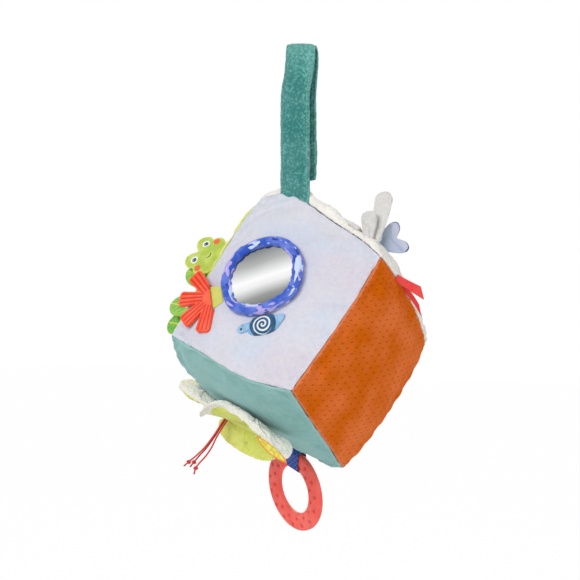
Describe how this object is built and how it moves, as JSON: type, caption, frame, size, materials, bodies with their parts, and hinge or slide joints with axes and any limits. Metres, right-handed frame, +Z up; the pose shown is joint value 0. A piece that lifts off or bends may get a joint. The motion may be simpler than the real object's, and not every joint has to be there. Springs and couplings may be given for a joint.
{
  "type": "soft activity block",
  "caption": "Soft stuffed cube that hangs by a folded plush strap, with a round mirror, a teether ring and sewn-on tags.",
  "frame": {"origin": "inside top of the strap's fold, where it hangs over a bar", "axes": "+X along the strap's width, +Y from the strap's front run to its tail, +Z up"},
  "size_m": [0.2313, 0.2093, 0.4518],
  "materials": {
    "lavender_velour": "pale velour with a soft cloudy print",
    "orange_mesh": "smooth knit with rows of pin dots",
    "aqua_velour": "short-pile velour",
    "cream_plush": "thick plush",
    "lime_velour": "short-pile velour",
    "foam": "soft filling",
    "capsule_plastic": "matt",
    "orange_silicone": "satin",
    "felt": "felt",
    "mirror_film": "polished",
    "blue_print": "printed cotton, gathered",
    "lime_ribbon": "woven ribbon",
    "snail_print": "printed velour",
    "frog_print": "printed velour",
    "leaf_print": "printed cotton",
    "grey_plush": "short-pile plush",
    "tail_print": "printed cotton",
    "red_ribbon": "satin ribbon",
    "crinkle_film": "crinkle foil in cotton",
    "blue_ribbon": "woven ribbon with pale dots",
    "coral_silicone": "satin",
    "teal_velour": "short-pile plush velour",
    "fastening_tape": "hook and loop tape",
    "red_cord": "twisted cord"
  },
  "bodies": {
    "block": {"front_panel": "lavender_velour", "right_panel": "orange_mesh", "bottom_panel": "aqua_velour", "top_panel": "cream_plush", "left_panel": "lime_velour", "back_panel": "aqua_velour", "foam_core": "foam", "foam_plug": "foam", "rattle_cup": "capsule_plastic", "rattle_lid": "capsule_plastic", "mirror_backing": "felt", "mirror_disc": "mirror_film", "mirror_frame": "blue_print", "butterfly_body": "lime_velour", "strap_front": "teal_velour", "loop_patch": "fastening_tape", "antenna_string_left": "red_cord", "antenna_string_middle": "red_cord", "antenna_string_right": "red_cord"},
    "rattle_ball": {"rattle_ball": "orange_silicone"},
    "fan_teether": {"fan_teether": "orange_silicone", "fan_ribbon": "lime_ribbon"},
    "snail_tag": {"snail_tag": "snail_print"},
    "frog_head": {"frog_head": "frog_print"},
    "leaf_upper": {"leaf_upper": "leaf_print"},
    "leaf_middle": {"leaf_middle": "leaf_print"},
    "leaf_lower": {"leaf_lower": "leaf_print"},
    "bug_body": {"bug_body": "grey_plush"},
    "bug_wing_short": {"bug_wing_short": "grey_plush"},
    "bug_wing_tall": {"bug_wing_tall": "grey_plush"},
    "bug_tail": {"bug_tail": "tail_print"},
    "red_ribbon_upper": {"red_ribbon_upper": "red_ribbon"},
    "red_ribbon_lower": {"red_ribbon_lower": "red_ribbon"},
    "butterfly_wing_near": {"butterfly_wing_near": "lime_velour", "crinkle_wing": "crinkle_film"},
    "butterfly_wing_far": {"butterfly_wing_far": "lime_velour"},
    "butterfly_forewing": {"butterfly_forewing": "lime_velour"},
    "ring_ribbon": {"ring_ribbon": "blue_ribbon"},
    "teether_ring": {"teether_ring": "coral_silicone"},
    "strap_tail": {"strap_tail": "teal_velour", "hook_patch": "fastening_tape"}
  },
  "joints": [
    {"name": "rattle_ball_travel", "type": "slide", "parent": "block", "child": "rattle_ball", "axis": [0.28, 0.5624, 0.778], "range_m": [0, 0.0302]},
    {"name": "fan_teether_hinge", "type": "hinge", "parent": "block", "child": "fan_teether", "pos_m": [-0.03539, -0.06669, -0.22209], "axis": [-0.4503, 0.3932, 0.8016], "range_deg": [0, 90]},
    {"name": "snail_tag_hinge", "type": "hinge", "parent": "block", "child": "snail_tag", "pos_m": [0.01376, -0.07303, -0.2414], "axis": [-0.9381, -0.2643, -0.2238], "range_deg": [0, 70]},
    {"name": "frog_head_hinge", "type": "hinge", "parent": "block", "child": "frog_head", "pos_m": [-0.06642, -0.03364, -0.19061], "axis": [0.28, 0.5624, 0.778], "range_deg": [-15, 15], "stiffness_Nm_per_rad": 0.008},
    {"name": "leaf_upper_hinge", "type": "hinge", "parent": "block", "child": "leaf_upper", "pos_m": [-0.07502, -0.03398, -0.21136], "axis": [0.3366, 0.5565, 0.7596], "range_deg": [-20, 12], "stiffness_Nm_per_rad": 0.002},
    {"name": "leaf_middle_hinge", "type": "hinge", "parent": "block", "child": "leaf_middle", "pos_m": [-0.08168, -0.05378, -0.2358], "axis": [0.203, 0.5671, 0.7982], "range_deg": [-10, 25], "stiffness_Nm_per_rad": 0.002},
    {"name": "leaf_lower_hinge", "type": "hinge", "parent": "block", "child": "leaf_lower", "pos_m": [-0.08705, -0.05645, -0.25078], "axis": [0.0731, 0.5677, 0.82], "range_deg": [-20, 12], "stiffness_Nm_per_rad": 0.001},
    {"name": "bug_body_hinge", "type": "hinge", "parent": "block", "child": "bug_body", "pos_m": [0.0638, 0.00162, -0.16678], "axis": [0.1608, -0.8293, 0.5352], "range_deg": [-30, 0]},
    {"name": "bug_wing_short_hinge", "type": "hinge", "parent": "block", "child": "bug_wing_short", "pos_m": [0.07667, -0.00354, -0.17811], "axis": [0.9672, 0.1994, 0.1572], "range_deg": [0, 35], "stiffness_Nm_per_rad": 0.005},
    {"name": "bug_wing_tall_hinge", "type": "hinge", "parent": "block", "child": "bug_wing_tall", "pos_m": [0.07901, 0.00468, -0.17665], "axis": [0.9772, 0.2086, 0.0409], "range_deg": [-8, 4], "stiffness_Nm_per_rad": 0.01},
    {"name": "bug_tail_hinge", "type": "hinge", "parent": "block", "child": "bug_tail", "pos_m": [0.07385, 0.01587, -0.1794], "axis": [0.5105, -0.1492, -0.8468], "range_deg": [-20, 8], "stiffness_Nm_per_rad": 0.002},
    {"name": "red_ribbon_upper_hinge", "type": "hinge", "parent": "block", "child": "red_ribbon_upper", "pos_m": [0.09201, 0.01809, -0.20771], "axis": [-0.5184, -0.2149, -0.8277], "range_deg": [-12, 25], "stiffness_Nm_per_rad": 0.0008},
    {"name": "red_ribbon_lower_hinge", "type": "hinge", "parent": "block", "child": "red_ribbon_lower", "pos_m": [0.09109, 0.03094, -0.21544], "axis": [-0.8252, 0.0682, -0.5607], "range_deg": [-12, 25], "stiffness_Nm_per_rad": 0.0008},
    {"name": "butterfly_wing_near_hinge", "type": "hinge", "parent": "block", "child": "butterfly_wing_near", "pos_m": [-0.04393, -0.02943, -0.33597], "axis": [0.9492, -0.0408, -0.3121], "range_deg": [0, 40], "stiffness_Nm_per_rad": 0.03},
    {"name": "butterfly_wing_far_hinge", "type": "hinge", "parent": "block", "child": "butterfly_wing_far", "pos_m": [-0.04082, -0.0189, -0.34391], "axis": [-0.9492, 0.0408, 0.3121], "range_deg": [-25, 0], "stiffness_Nm_per_rad": 0.015},
    {"name": "butterfly_forewing_hinge", "type": "hinge", "parent": "block", "child": "butterfly_forewing", "pos_m": [-0.07282, -0.02116, -0.33103], "axis": [-0.0776, -0.9958, -0.0492], "range_deg": [0, 25], "stiffness_Nm_per_rad": 0.02},
    {"name": "ring_ribbon_hinge", "type": "hinge", "parent": "block", "child": "ring_ribbon", "pos_m": [-0.02371, 0.03205, -0.36686], "axis": [0.9194, -0.2698, -0.2863], "range_deg": [-20, 20], "stiffness_Nm_per_rad": 0.03, "springref_deg": 3.61},
    {"name": "teether_ring_spin", "type": "hinge", "parent": "ring_ribbon", "child": "teether_ring", "pos_m": [-0.03318, 0.04278, -0.40741], "axis": [0.3258, 0.93, 0.17], "continuous": true},
    {"name": "strap_tail_hinge", "type": "hinge", "parent": "block", "child": "strap_tail", "pos_m": [0, 0.0078, -0.0028], "axis": [1, 0, 0], "range_deg": [0, 150], "stiffness_Nm_per_rad": 0.003}
  ]
}
